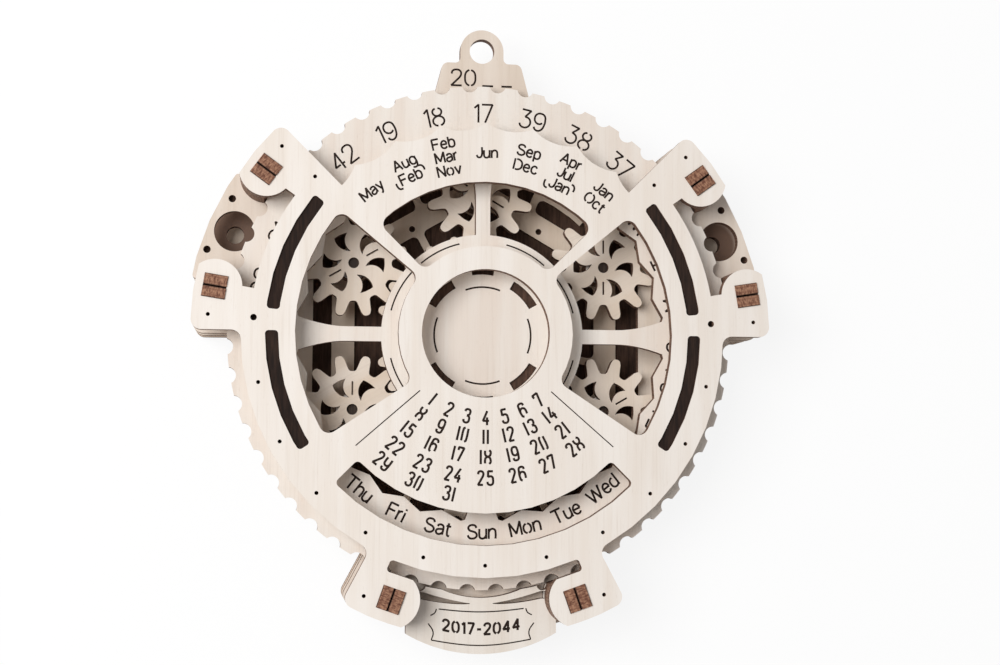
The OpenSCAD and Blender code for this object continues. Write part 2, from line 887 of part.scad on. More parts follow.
front_plate();
calendar_wheel();
hub_drum();
sun_gear();
planet_gear(0);  // planet_gear_1
planet_gear(1);  // planet_gear_2
planet_gear(2);  // planet_gear_3
planet_gear(3);  // planet_gear_4
planet_gear(4);  // planet_gear_5
planet_gear(5);  // planet_gear_6
planet_axles();
planet_pillars();
center_axle();
center_pillar();
hub_washer();
mid_frame();
gear_frame();
back_plate();
detent_plate();
ear_spacer(side_right);  // spacer_side_right
ear_spacer(upper_right);  // spacer_upper_right
ear_spacer(upper_left);  // spacer_upper_left
ear_spacer(side_left);  // spacer_side_left
foot_spacer(foot_left);  // spacer_foot_left
foot_spacer(foot_right);  // spacer_foot_right
foot_shim(foot_left);  // shim_foot_left
foot_shim(foot_right);  // shim_foot_right
rear_spacers();
back_spacers();
clip(side_right);  // clip_side_right
clip(upper_right);  // clip_upper_right
clip(upper_left);  // clip_upper_left
clip(side_left);  // clip_side_left
clip(foot_left);  // clip_foot_left
clip(foot_right);  // clip_foot_right
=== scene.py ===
import math
import bpy
import bmesh
from mathutils import Matrix, Vector


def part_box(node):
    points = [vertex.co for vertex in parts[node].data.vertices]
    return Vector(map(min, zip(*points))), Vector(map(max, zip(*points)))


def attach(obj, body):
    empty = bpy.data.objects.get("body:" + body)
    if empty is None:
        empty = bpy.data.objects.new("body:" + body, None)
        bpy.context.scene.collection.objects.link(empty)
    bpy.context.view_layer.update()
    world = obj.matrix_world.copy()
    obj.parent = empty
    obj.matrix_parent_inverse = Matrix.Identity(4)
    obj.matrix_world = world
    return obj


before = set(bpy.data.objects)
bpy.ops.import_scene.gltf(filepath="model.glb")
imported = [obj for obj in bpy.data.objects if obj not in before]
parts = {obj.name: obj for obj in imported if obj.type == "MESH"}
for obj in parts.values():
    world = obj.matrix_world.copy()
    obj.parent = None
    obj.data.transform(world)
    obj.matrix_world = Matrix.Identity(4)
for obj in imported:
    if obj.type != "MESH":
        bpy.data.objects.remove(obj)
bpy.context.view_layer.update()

# ---------------------------------------------------------------- table, lamps and camera
# The calendar lies on its back on a white table. One large soft lamp stands on the left and
# a little towards the loop, and a pale room fills the shadows.
scene = bpy.context.scene
scene.view_settings.view_transform = "Standard"


def tint(red, green, blue):
    """A paint chart's colour, 0 to 255, as the shader takes it."""
    chart = [c / 255 for c in (red, green, blue)]
    return tuple(c / 12.92 if c <= 0.04045 else ((c + 0.055) / 1.055) ** 2.4 for c in chart)


class Wire:
    """One socket of a material; sums written on it add the nodes that work them out."""

    def __init__(self, tree, socket=None):
        self.tree = tree
        self.socket = socket

    def node(self, kind, settings=(), sockets=(), out=0):
        made = self.tree.nodes.new("ShaderNode" + kind)
        for name, value in dict(settings).items():
            setattr(made, name, value)
        for name, value in dict(sockets).items():
            port = made.inputs[name]
            if isinstance(value, Wire):
                self.tree.links.new(value.socket, port)
            elif port.type == "RGBA":
                port.default_value = (*value, 1)
            else:
                port.default_value = value
        return Wire(self.tree, made.outputs[out] if made.outputs else None)

    def sum(self, operation, first, second=0.0):
        return self.node("Math", {"operation": operation}, {0: first, 1: second})

    def __add__(self, other):
        return self.sum("ADD", self, other)

    def __sub__(self, other):
        return self.sum("SUBTRACT", self, other)

    def __rsub__(self, other):
        return self.sum("SUBTRACT", other, self)

    def __mul__(self, other):
        return self.sum("MULTIPLY", self, other)

    def __abs__(self):
        return self.sum("ABSOLUTE", self)

    __radd__ = __add__
    __rmul__ = __mul__

    def rise(self, low, high):
        """0 below low, 1 above high, smooth between."""
        return self.node("MapRange", {"interpolation_type": "SMOOTHSTEP"},
                         {"Value": self, "From Min": low, "From Max": high})

    def mix(self, first, second):
        """The first colour where this is 0, the second where it is 1."""
        return self.node("Mix", {"data_type": "RGBA"}, {0: self, 6: first, 7: second}, 2)

    def dot(self, direction):
        return self.node("VectorMath", {"operation": "DOT_PRODUCT"}, {0: self, 1: direction}, 1)

    def stretched(self, scale, place=(0, 0, 0)):
        return self.node("Mapping", {}, {"Vector": self, "Scale": scale, "Location": place})

    def noise(self, detail=3.0, rough=0.5):
        return self.node("TexNoise", {}, {"Vector": self, "Scale": 1.0, "Detail": detail,
                                          "Roughness": rough})


def new_material(name):
    material = bpy.data.materials.new(name)
    material.use_nodes = True
    material.node_tree.nodes.clear()
    return material, Wire(material.node_tree)


def looked_at(board):
    """1 for the rays that make a picture of the table or the room, seen or mirrored."""
    return (board.node("LightPath", out="Is Camera Ray")
            + board.node("LightPath", out="Is Glossy Ray")
            + board.node("LightPath", out="Is Transmission Ray"))


# The table top looks almost white, and a small share of its light still takes the shadow.
TABLE_HALF, TABLE_GLOW, SHADOW_SHARE = 3, 0.87, 0.13
white, board = new_material("white_table")
matt = board.node("BsdfDiffuse", {}, {"Color": tint(250, 250, 250)})
faint = board.node("BsdfDiffuse", {}, {"Color": (SHADOW_SHARE, SHADOW_SHARE, SHADOW_SHARE)})
glow = board.node("Emission", {}, {"Color": (1, 1, 1), "Strength": TABLE_GLOW})
lit = board.node("AddShader", {}, {0: faint, 1: glow})
board.node("OutputMaterial", {}, {
    "Surface": board.node("MixShader", {}, {0: looked_at(board), 1: matt, 2: lit})})
sheet = bmesh.new()
bmesh.ops.create_grid(sheet, x_segments=1, y_segments=1, size=TABLE_HALF)
table_mesh = bpy.data.meshes.new("table")
sheet.to_mesh(table_mesh)
sheet.free()
table_top = bpy.data.objects.new("table", table_mesh)
table_mesh.materials.append(white)
scene.collection.objects.link(table_top)

ROOM_LIGHT = 0.31
world = bpy.data.worlds.new("room")
scene.world = world
world.use_nodes = True
world.node_tree.nodes.clear()
room = Wire(world.node_tree)
air = room.node("Background", {}, {"Color": (1, 1, 1), "Strength": ROOM_LIGHT})
bare = room.node("Background", {}, {"Color": (1, 1, 1), "Strength": 1.0})
room.node("OutputWorld", {}, {
    "Surface": room.node("MixShader", {}, {0: looked_at(room), 1: air, 2: bare})})


def soft_lamp(name, place, aim, size, power):
    lamp = bpy.data.lights.new(name, "AREA")
    lamp.size = size
    lamp.energy = power
    stand = bpy.data.objects.new(name, lamp)
    stand.location = place
    stand.rotation_euler = (Vector(aim) - Vector(place)).to_track_quat("-Z", "Y").to_euler()
    scene.collection.objects.link(stand)


soft_lamp("key_lamp", place=(-0.65, 0.16, 1.0), aim=(0, 0, 0), size=0.7, power=12.4)

# The camera stands half a metre above the dial, a little towards its lower left.
camera = bpy.data.cameras.new("camera")
camera.lens = 60.84
camera.sensor_width = 36
holder = bpy.data.objects.new("camera", camera)
holder.matrix_world = Matrix((
    (0.99145, -0.01435, -0.12968, -0.057331),
    (0.00382, 0.99670, -0.08110, -0.038060),
    (0.13041, 0.07991, 0.98823, 0.496475),
    (0, 0, 0, 1)))
scene.collection.objects.link(holder)
scene.camera = holder

# ---------------------------------------------------------------- back plate and its spacers
# The rearmost ply, with pockets on the inside between a bare boss and a six-sided web. The dark
# floors of the pockets and of the blind pin holes are painted shade.
# All plies are cut from 3 mm birch plywood by laser: pale faces with a fine upright grain, and
# edges browned by the beam.
MM = 1000
PLY = 3.0


def grained(board, seed, along, pale, warm):
    """Birch face of broad warm bands, fibres and fine pores: its place, colour, height, fibres."""
    dark_fibre = tint(172, 146, 118)
    other_sheet = (seed * 37.0, seed * 53.0, 0)
    place = board.node("TexCoord", out="Object").stretched((MM, MM, MM), other_sheet)
    if along:
        place = place.node("Mapping", {}, {"Vector": place, "Rotation": (0, 0, along)})
    bands = place.stretched((0.22, 0.012, 0.2)).noise(2.0)
    fibres = place.stretched((1.3, 0.035, 0.6)).noise(3.0, 0.6)
    threads = place.stretched((3.1, 0.11, 1.0)).noise(2.0, 0.6)
    pores = place.stretched((2.6, 0.42, 1.5)).noise(1.0).rise(0.66, 0.78)
    cloud = place.stretched((0.03, 0.022, 0.03)).noise(2.0)
    colour = (bands * 0.6 + cloud * 0.4).rise(0.34, 0.66).mix(pale, warm)
    streak = fibres.rise(0.5, 0.8) * 0.14 + threads.rise(0.52, 0.85) * 0.09 + pores * 0.10
    colour = streak.mix(colour, dark_fibre)
    height = fibres * 0.5 + threads * 0.35 - pores * 0.8
    return place, colour, height, fibres


def plywood(name, low, seed, pale=(242, 235, 228), warm=(235, 224, 212), along=0.0,
            burn_and_shade_below=None, soot=((60, 44, 36), (94, 71, 59)), painted_shade_spot=None):
    """Birch ply that lies flat from height low up, with browned edges.

    Up-facing floors below the dark-floor height take the two soot colours: the burn of engraving on
    a ply that is engraved, painted shade on floors that lie deep in shadow. The spot, if given, is
    painted shade, a brown spot on each side round a deep hole, as (place, inner radius, outer
    radius)."""
    up = (0, 0, 1)
    burn, scorch = tint(84, 61, 50), tint(146, 114, 95)
    material, board = new_material(name)
    place, face, height, fibres = grained(board, seed, along, tint(*pale), tint(*warm))
    normal = board.node("NewGeometry", out="True Normal")
    edge = 1 - abs(normal.dot(up)).rise(0.55, 0.75)
    across = board.node("TexCoord", out="Object").stretched((MM, MM, MM))
    depth = across.dot(up)
    beam = across.stretched((2.4, 2.4, 0.25)).noise(3.0, 0.6)
    glue = (across.stretched((0.4, 0.4, 3.0)).noise(2.0) - 0.5) * 0.35
    # The middle veneer is darker than the two outer ones.
    outer = abs(depth + glue - (low + PLY / 2)).rise(0.21 * PLY, 0.26 * PLY)
    cut = (beam.rise(0.3, 0.72) * 0.7 + outer * 0.3).mix(burn, scorch)
    colour = edge.mix(face, cut)
    rough = 0.56 + fibres * 0.16 + edge * 0.12
    # Painted shade: a brown spot round a deep hole, darker than the birch.
    if painted_shade_spot is not None:
        spot, inside, outside = painted_shade_spot
        painted_shade_brown = tint(104, 80, 66)
        either_side = across.node("VectorMath", {"operation": "ABSOLUTE"}, {0: across})
        away = across.node("VectorMath", {"operation": "DISTANCE"}, {0: either_side, 1: spot}, 1)
        colour = away.rise(inside, outside).mix(painted_shade_brown, colour)
    # Dark floors: burned engraving on some plies, painted shade on the deep floors and pin holes of
    # others.
    if burn_and_shade_below is not None:
        fade = 0.05
        deep = 1 - depth.rise(burn_and_shade_below - fade, burn_and_shade_below + fade)
        floor = deep * normal.dot(up).rise(0.5, 0.6)
        pitted = place.stretched((1.1, 0.12, 1.0)).noise(4.0, 0.65).rise(0.3, 0.75)
        colour = floor.mix(colour, pitted.mix(tint(*soot[0]), tint(*soot[1])))
        rough = rough + floor * 0.3
    relief = height * (1 - edge) * 0.7 + beam * edge * 1.6
    bump = board.node("Bump", {}, {"Strength": 0.35, "Distance": 0.00006, "Height": relief})
    shell = board.node("BsdfPrincipled", {}, {
        "Base Color": colour, "Roughness": rough,
        "Specular IOR Level": 0.32, "Normal": bump})
    board.node("OutputMaterial", {}, {"Surface": shell})
    return material


def finish_part(name, material):
    mesh = parts[name].data
    mesh.materials.clear()
    mesh.materials.append(material)


# Its pale and warm colours, like the gear frame's and the mid frame's, are warmer and darker than
# the front plate's: painted shade for the dim light deep in the stack.
finish_part("back_plate", plywood("birch_back_plate", low=0, seed=1, pale=(238, 221, 203),
                                  warm=(226, 206, 185), burn_and_shade_below=1.6))
finish_part("back_spacers", plywood("birch_back_spacers", low=3, seed=2))

# ---------------------------------------------------------------- gear frame and rear spacers
# The ply behind the planets, with an opening between two straight sides, and the spacers that
# keep it off the mid frame. Around the small hole in each wing it is painted brown: painted shade.
WING_HOLE, SHADE_SPOT_IN, SHADE_SPOT_OUT = (70.2, 28.9, 9), 6.0, 9.5
# Its pale and warm colours are warmer and darker than the front plate's: painted shade.
finish_part("gear_frame", plywood("birch_gear_frame", low=6, seed=3, pale=(233, 221, 208),
                                  warm=(223, 207, 190), painted_shade_spot=(WING_HOLE, SHADE_SPOT_IN, SHADE_SPOT_OUT)))
finish_part("rear_spacers", plywood("birch_rear_spacers", low=9, seed=4))

# ---------------------------------------------------------------- planet carrier
# Six short pillars on the back plate's web, each with a dark axle that a planet turns on, and the
# centre pillar and axle, with a thin washer under the sun gear. The axles' brown is deepened nearly
# to black as painted shade in the planets' centre holes.
finish_part("planet_pillars", plywood("birch_planet_pillars", low=6, seed=5))
finish_part("planet_axles", plywood("planet_axles_painted_shade", low=9, seed=6, pale=(66, 50, 41),
                                    warm=(50, 38, 31)))
finish_part("center_pillar", plywood("birch_center_pillar", low=6, seed=7))
finish_part("center_axle", plywood("birch_center_axle", low=15, seed=8))
finish_part("hub_washer", plywood("char_hub_washer", low=10, seed=9, pale=(88, 70, 60),
                                  warm=(70, 54, 46)))

# ---------------------------------------------------------------- planets and sun gear
# Six wheels with finger-like teeth and crescent holes, each with its grain turned another way,
# driven by the sun gear under the hub. The drum joins the sun gear to the calendar wheel, and the
# ends of its four tabs are painted dark: painted shade in the hub's slots.
GEAR_LOW, GRAIN_TURN = 10.8, 1.05
for i in range(1, 7):
    finish_part(f"planet_gear_{i}", plywood(f"birch_planet_{i}", low=GEAR_LOW, seed=10 + i,
                                            pale=(236, 223, 209), warm=(226, 209, 190),
                                            along=i * GRAIN_TURN))
finish_part("sun_gear", plywood("birch_sun_gear", low=GEAR_LOW, seed=18, pale=(235, 222, 209),
                                warm=(225, 209, 192)))
finish_part("hub_drum", plywood("birch_hub_drum", low=15.5, seed=19, burn_and_shade_below=20.75))

# ---------------------------------------------------------------- mid frame and its spacers
# The ply with the hanging loop and the two wings. Its floor between the feet and the floors of the
# blind pin holes in its wings are painted dark: painted shade for the deep gaps. Shims and spacers
# of the same ply, held by the clips, keep the front plate off it.
# Its pale and warm colours are warmer and darker than the front plate's: painted shade.
finish_part("mid_frame", plywood("birch_mid_frame", low=14, seed=20, pale=(233, 220, 207),
                                 warm=(222, 206, 190), burn_and_shade_below=15.5))
for i, name in enumerate(n for n in parts if n.startswith(("spacer_", "shim_"))):
    finish_part(name, plywood("birch_" + name, low=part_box(name)[0].z * MM, seed=30 + i))

# ---------------------------------------------------------------- calendar wheel
# The big wheel with a scalloped rim and four flared spokes, turned by hand at its edge. The drum's
# tabs fit into slots in its hub, which is bare but for plain arcs.
finish_part("calendar_wheel", plywood("birch_calendar_wheel", low=18.5, seed=21,
                                      pale=(240, 232, 223), warm=(233, 220, 208)))

# ---------------------------------------------------------------- detent plate
# The ply in front of the feet's shims, with two sprung arms that drop into the wheel's notches
# and a plaque below.
finish_part("detent_plate", plywood("birch_detent_plate", low=18.5, seed=22,
                                    pale=(238, 230, 221), warm=(229, 218, 206)))

# ---------------------------------------------------------------- front plate
# The dial: the ring with its ears and feet, the month sector, the date fan and four bars that the
# laser has burned dark.
# The same dark lies on the floors of the blind pin holes: painted shade.
finish_part("front_plate", plywood("birch_front_plate", low=27, seed=23, pale=(243, 235, 227),
                                   warm=(236, 225, 214), burn_and_shade_below=29.7,
                                   soot=((24, 14, 10), (52, 36, 28))))

# ---------------------------------------------------------------- clips
# Pairs of plies on edge that hold the stack together; their ends stand just proud of the front
# plate and are browned right across.
HALF_SLIT = 0.22


def clip_end(name, turn, seed):
    """End grain browned by the beam: veneers of each ply in stripes, blotched, dark at the rims."""
    singed, toasted = tint(92, 54, 38), tint(172, 128, 102)
    veneer_brown, rim_brown = tint(104, 62, 46), tint(58, 34, 26)
    material, board = new_material(name)
    place = board.node("TexCoord", out="Object").stretched((MM, MM, MM))
    across = place.dot((-math.sin(turn), math.cos(turn), 0))
    wobble = place.stretched((0.9, 0.9, 0.9), (seed * 7.0, seed * 3.0, 0)).noise(2.0) - 0.5
    ply = abs(across) - (HALF_SLIT + PLY / 2) + wobble * 0.35
    veneer = 1 - abs(abs(ply) - PLY / 4).rise(0.12, 0.4)
    rim = abs(ply).rise(0.38 * PLY, 0.5 * PLY)
    fibre = place.node("Mapping", {}, {"Vector": place, "Rotation": (0, 0, -turn)})
    blotch = fibre.stretched((2.2, 0.7, 0.5), (seed * 5.0, 0, 0)).noise(4.0, 0.7)
    colour = blotch.rise(0.36, 0.62).mix(singed, toasted)
    colour = (veneer * 0.45).mix(colour, veneer_brown)
    colour = (rim * 0.85).mix(colour, rim_brown)
    bump = board.node("Bump", {}, {"Strength": 0.5, "Distance": 0.0001,
                                   "Height": blotch - rim * 0.6})
    shell = board.node("BsdfPrincipled", {}, {
        "Base Color": colour, "Roughness": 0.62 + blotch * 0.2, "Specular IOR Level": 0.3,
        "Normal": bump})
    board.node("OutputMaterial", {}, {"Surface": shell})
    return material


for name, angle in (("side_right", 9), ("upper_right", 36), ("upper_left", 144), ("side_left", 171),
                    ("foot_left", 250.6), ("foot_right", 289.4)):
    finish_part("clip_" + name, clip_end("end_grain_clip_" + name, math.radians(angle), angle))

# ---------------------------------------------------------------- month names
# The laser burns all lettering nearly black, in strokes of one width. Each set of words is a thin
# ribbon let into its ply. The months stand in seven columns, the later rows nearer the centre.
char, board = new_material("char_lettering")
spot = board.node("TexCoord", out="Object").stretched((MM, MM, MM))
soot = spot.stretched((1.2, 1.2, 1.2)).noise(3.0, 0.6)
board.node("OutputMaterial", {}, {"Surface": board.node("BsdfPrincipled", {}, {
    "Base Color": soot.rise(0.3, 0.7).mix(tint(30, 20, 16), tint(54, 39, 31)),
    "Roughness": 0.75 + soot * 0.2, "Specular IOR Level": 0.2,
    "Normal": board.node("Bump", {}, {"Strength": 0.3, "Distance": 0.00005, "Height": soot})})})

# Each sign's width and strokes, on a grid where a capital is 10 high. "~" is a bent stroke, "-"
# a straight one.
CAPITAL = 10
LETTERS = {
    "A": (6.8, [("-", (0, 0), (3.4, 10), (6.8, 0)), ("-", (1.2, 3.3), (5.6, 3.3))]),
    "D": (6.8, [
        ("-", (0, 0), (0, 10)),
        ("~", (1.4, 10), (4.2, 9.6), (6.3, 7.7), (6.8, 5), (6.3, 2.3), (4.2, .4), (1.4, 0))]),
    "F": (5.6, [("-", (0, 0), (0, 10), (5.6, 10)), ("-", (0, 5.2), (4.8, 5.2))]),
    "J": (4.4, [("~", (4.4, 10), (4.4, 2.8), (3.7, .8), (2.1, 0), (.6, .7), (0, 2.4))]),
    "M": (7.6, [("-", (0, 0), (0, 10), (3.8, 1.5), (7.6, 10), (7.6, 0))]),
    "N": (6.2, [("-", (0, 0), (0, 10), (6.2, 0), (6.2, 10))]),
    "O": (7.8, [
        ("~", (3.2, 10), (.9, 8.4), (0, 5), (.9, 1.6), (3.2, 0)),
        ("~", (4.6, 10), (6.9, 8.4), (7.8, 5), (6.9, 1.6), (4.6, 0))]),
    "S": (6.4, [
        ("~", (6.1, 7.8), (5.3, 9.4), (3.3, 10), (1.3, 9.4), (.4, 7.7), (1.3, 6.1), (3.3, 5.3),
             (5.4, 4.4), (6.4, 2.6), (5.5, .8), (3.2, 0), (1, .7), (0, 2.5))]),
    "T": (7.2, [("-", (0, 10), (7.2, 10)), ("-", (3.6, 10), (3.6, 0))]),
    "W": (10.4, [("-", (0, 10), (2.7, 0), (5.2, 9.6), (7.7, 0), (10.4, 10))]),
    "a": (4.8, [
        ("~", (.4, 5.6), (1.2, 6.8), (2.7, 7.2), (4.3, 6.5), (4.7, 5), (4.7, 0)),
        ("~", (4.7, 4.1), (2.2, 3.8), (.3, 2.9), (.1, 1.2), (1.4, 0), (3.2, .3), (4.7, 1.9))]),
    "b": (5.0, [
        ("-", (0, 10), (0, 0)),
        ("~", (0, 5.2), (1.2, 6.8), (2.9, 7.2), (4.6, 5.9), (5, 3.5), (4.5, 1.1), (2.8, 0),
             (1.1, .3), (0, 1.7))]),
    "c": (4.8, [
        ("~", (4.7, 5.5), (3.9, 6.7), (2.6, 7.2), (.8, 6.1), (0, 3.6), (.8, .9), (2.6, 0),
             (4, .4), (4.8, 1.7))]),
    "d": (5.0, [
        ("-", (5, 10), (5, 0)),
        ("~", (3, 7.1), (1.6, 7), (.3, 5.6), (0, 3.5), (.5, 1.1), (2.2, 0), (3.9, .3),
             (5, 1.7))]),
    "e": (5.0, [
        ("-", (.9, 3.8), (4.9, 3.8)),
        ("~", (4.9, 3.8), (4.4, 6), (2.6, 7.2), (.8, 6.1), (0, 3.6), (.8, .9), (2.7, 0),
             (4.1, .5), (4.8, 1.6))]),
    "g": (5.0, [
        ("~", (5, 7.1), (5, -1.2), (4.2, -2.7), (2.4, -3.2), (.6, -2.4)),
        ("~", (5, 5.2), (3.8, 6.8), (2.1, 7.2), (.4, 5.9), (0, 3.5), (.5, 1.1), (2.2, 0),
             (3.9, .3), (5, 1.7))]),
    "h": (4.8, [
        ("-", (0, 10), (0, 0)),
        ("~", (0, 4.6), (1, 6.5), (2.7, 7.2), (4.3, 6.4), (4.8, 4.6), (4.8, 0))]),
    "i": (0.1, [("-", (0, 7.1), (0, 0)), ("-", (0, 9.2), (0, 10))]),
    "l": (0.1, [("-", (0, 10), (0, 0))]),
    "n": (4.8, [
        ("-", (0, 7.1), (0, 0)),
        ("~", (0, 4.6), (1, 6.5), (2.7, 7.2), (4.3, 6.4), (4.8, 4.6), (4.8, 0))]),
    "o": (5.4, [
        ("~", (2.2, 7.2), (.6, 5.9), (0, 3.6), (.6, 1.2), (2.2, 0)),
        ("~", (3.2, 7.2), (4.8, 5.9), (5.4, 3.6), (4.8, 1.2), (3.2, 0))]),
    "p": (5.0, [
        ("-", (0, 7.1), (0, -3)),
        ("~", (0, 5.2), (1.2, 6.8), (2.9, 7.2), (4.6, 5.9), (5, 3.5), (4.5, 1.1), (2.8, 0),
             (1.1, .3), (0, 1.7))]),
    "r": (2.8, [("-", (0, 7.1), (0, 0)), ("~", (0, 4.3), (.8, 6.3), (1.9, 7.1), (2.8, 7.2))]),
    "t": (3.2, [("~", (1.3, 9.4), (1.3, 1.5), (1.9, .2), (3.2, .1)), ("-", (0, 7.1), (3, 7.1))]),
    "u": (4.8, [
        ("~", (0, 7.1), (0, 2.4), (.5, .7), (1.9, 0), (3.7, .6), (4.8, 2.5)),
        ("-", (4.8, 7.1), (4.8, 0))]),
    "v": (5.0, [("-", (0, 7.1), (2.5, 0), (5, 7.1))]),
    "y": (5.0, [
        ("-", (0, 7.1), (2.6, .4)),
        ("~", (5, 7.1), (2.2, -1.2), (1.4, -2.7), (.2, -3.1))]),
    "(": (0.1, [("~", (-2.6, 4.4), (-2.5, 1), (-1.2, -1.9), (1.6, -2.6))]),
    ")": (0.1, [("~", (-1.7, 11.6), (.6, 10.9), (2, 8.6), (2.1, 5.4))]),
}


def words(text, alphabet, gap):
    """Strokes of a line of text, and how wide it is, on the sign grid."""
    strokes, pen = [], 0.0
    for sign in text:
        width, shapes = alphabet[sign]
        strokes += [(kind, [(pen + x, y) for x, y in points]) for kind, *points in shapes]
        pen += width + gap
    return strokes, pen - gap


def lettered(text, alphabet, gap, height, middle, stretch=1.0, up=Vector((0, 1))):
    """A line of text about its middle, in millimetres on the dial."""
    strokes, width = words(text, alphabet, gap)
    right = Vector((up.y, -up.x)) * stretch * height / CAPITAL
    rise = up * height / CAPITAL
    return [(kind, [middle + right * (x - width / 2) + rise * (y - CAPITAL / 2)
                    for x, y in points])
            for kind, points in strokes]


def label(text, alphabet, gap, height, radius, angle, outward=True, stretch=1.0):
    """The same at a place on the dial, its tops outward or towards the centre."""
    turn = math.radians(angle)
    out = Vector((math.cos(turn), math.sin(turn)))
    return lettered(text, alphabet, gap, height, out * radius, stretch, out if outward else -out)


def engrave(name, body, strokes, width, z):
    """Turns strokes in millimetres on the dial into a burned line of one width at height z."""
    corner_run, flatness, lift, same_point = 0.15, 0.05, 0.00002, 1e-6
    path = bpy.data.curves.new(name, "CURVE")
    path.dimensions = "3D"
    path.twist_mode = "Z_UP"
    path.resolution_u = 4
    path.bevel_depth = width / 2 / MM
    path.bevel_resolution = 0
    path.use_fill_caps = True
    cuts = []
    for kind, points in strokes:
        if kind == "~":
            cuts.append((kind, points))
            continue
        # Straight cuts run a little past their corners, so that a corner comes out full.
        for start, end in zip(points, points[1:]):
            past = (end - start).normalized() * width * corner_run
            cuts.append((kind, [start - past, end + past]))
    for kind, points in cuts:
        stroke = path.splines.new("BEZIER")
        stroke.bezier_points.add(len(points) - 1)
        for knot, point in zip(stroke.bezier_points, points):
            knot.co = (point[0] / MM, point[1] / MM, 0)
            knot.handle_left_type = knot.handle_right_type = "AUTO" if kind == "~" else "VECTOR"
    drawn = bpy.data.objects.new(name, path)
    scene.collection.objects.link(drawn)
    bpy.context.view_layer.update()
    graph = bpy.context.evaluated_depsgraph_get()
    mesh = bpy.data.meshes.new_from_object(drawn.evaluated_get(graph))
    bpy.data.objects.remove(drawn)
    ribbon = bmesh.new()
    ribbon.from_mesh(mesh)
    bmesh.ops.remove_doubles(ribbon, verts=ribbon.verts, dist=same_point)
    bmesh.ops.recalc_face_normals(ribbon, faces=ribbon.faces)
    bmesh.ops.scale(ribbon, vec=(1, 1, flatness), verts=ribbon.verts)
    bmesh.ops.translate(ribbon, vec=(0, 0, z / MM + lift), verts=ribbon.verts)
    ribbon.to_mesh(mesh)
    ribbon.free()
    mesh.materials.clear()
    mesh.materials.append(char)
    piece = bpy.data.objects.new(name, mesh)
    scene.collection.objects.link(piece)
    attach(piece, body)


FRONT_FACE = 30.0
MONTH_STEP = 13.1
months = [(3, ["May"]), (2, ["Aug", "(Feb)"]), (1, ["Feb", "Mar", "Nov"]), (0, ["Jun"]),
          (-1, ["Sep", "Dec"]), (-2, ["Apr", "Jul", "(Jan)"]), (-3, ["Jan", "Oct"])]
month_rows = {1: [51.0], 2: [52.9, 48.6], 3: [54.7, 50.8, 46.9]}
strokes = []
for column, names in months:
    for name, radius in zip(names, month_rows[len(names)]):
        strokes += label(name, LETTERS, gap=1.9, height=2.95, radius=radius,
                         angle=90 + column * MONTH_STEP, stretch=1.1)
engrave("month_names", "frame", strokes, width=0.55, z=FRONT_FACE)

# ---------------------------------------------------------------- date table
# The fan of dates on the front plate, burned in tall narrow figures: one column for each weekday,
# their tops towards the centre, with a fine line down each side.
YEARS = 28
STEP = 360 / YEARS
NARROW = {
    "0": (3.5, [
        ("~", (0, .2), (0, 8.3), (.3, 9.6), (1.3, 10)),
        ("~", (3.5, 9.8), (3.5, 1.7), (3.2, .4), (2.2, 0))]),
    "1": (0.1, [("-", (0, 0), (0, 10))]),
    "2": (3.9, [
        ("~", (.1, 7.7), (.3, 9.3), (1.9, 10), (3.5, 9.3), (3.9, 7.6), (3.4, 6)),
        ("-", (3.4, 6), (0, 0), (3.4, 0))]),
    "3": (4.1, [
        ("~", (.1, 8.1), (.5, 9.4), (2, 10), (3.6, 9.3), (3.9, 7.6), (3.4, 6.1), (2, 5.4)),
        ("~", (2, 5.4), (3.7, 4.5), (4.1, 2.7), (3.7, .8), (2, 0), (.4, .7), (0, 2.2))]),
    "4": (4.2, [("-", (3, 10), (0, 3), (4.2, 3)), ("-", (3, 5.3), (3, 0))]),
    "5": (4.1, [
        ("-", (3.7, 10), (.4, 10), (.4, 5.8)),
        ("~", (.4, 5.8), (2.2, 6.3), (3.7, 5.6), (4.1, 3.8), (4, 1.2), (3, .1), (1.3, .1),
             (.2, .9), (0, 2.3))]),
    "6": (4.1, [
        ("~", (3.9, 7.9), (3.6, 9.4), (2, 10), (.4, 9.3), (0, 7.5), (0, 1.6), (.4, .4), (1.4, 0)),
        ("~", (0, 4.6), (.9, 5.9), (2.4, 6.2), (3.7, 5.4), (4.1, 3.9), (4.1, 1.2))]),
    "7": (3.9, [("-", (0, 8), (0, 10), (3.9, 10), (1.3, 0))]),
    "8": (4.1, [
        ("~", (0, 9.7), (0, 7.4), (.7, 5.9), (2, 5.2), (3.4, 4.6), (4.1, 3), (4, .9), (3, 0)),
        ("~", (3, 10), (4, 9.2), (4.1, 7.4), (3.4, 5.9), (2, 5.2), (.7, 4.6), (0, 3), (0, .3))]),
    "q": (4.1, [
        ("~", (4.1, 5.4), (3.2, 4.1), (1.7, 3.8), (.4, 4.6), (0, 6.1), (0, 8.2), (.7, 9.6),
             (2, 10), (3.5, 9.5), (4.1, 8)),
        ("~", (.2, 2.1), (.5, .6), (2.1, 0), (3.7, .7), (4.1, 2.5), (4.1, 8))]),
    "9": (4.1, [
        ("~", (.2, 2.1), (.5, .6), (2.1, 0), (3.7, .7), (4.1, 2.5), (4.1, 9.7)),
        ("~", (4.1, 5.4), (3.2, 4.1), (1.7, 3.8), (.4, 4.6), (0, 6.1), (0, 9.7))]),
}
week_rows = (23.7, 28.9, 34.5, 40.3, 45.7)
strokes = []
for day in range(1, 32):
    column, row = (day - 1) % 7 - 3, (day - 1) // 7
    # The nines of the first rows are closed at the top, the last one is open.
    digits = str(day) if day == 29 else str(day).replace("9", "q")
    strokes += label(digits, NARROW, gap=3.1, height=3.76, radius=week_rows[row],
                     angle=270 + column * STEP, outward=False)
engrave("date_table", "frame", strokes, width=0.64, z=FRONT_FACE)
sides = [("-", [Vector((side * 36.0, -31.5)), Vector((side * 18.4, -16.2))]) for side in (-1, 1)]
engrave("date_table_sides", "frame", sides, width=0.3, z=FRONT_FACE)

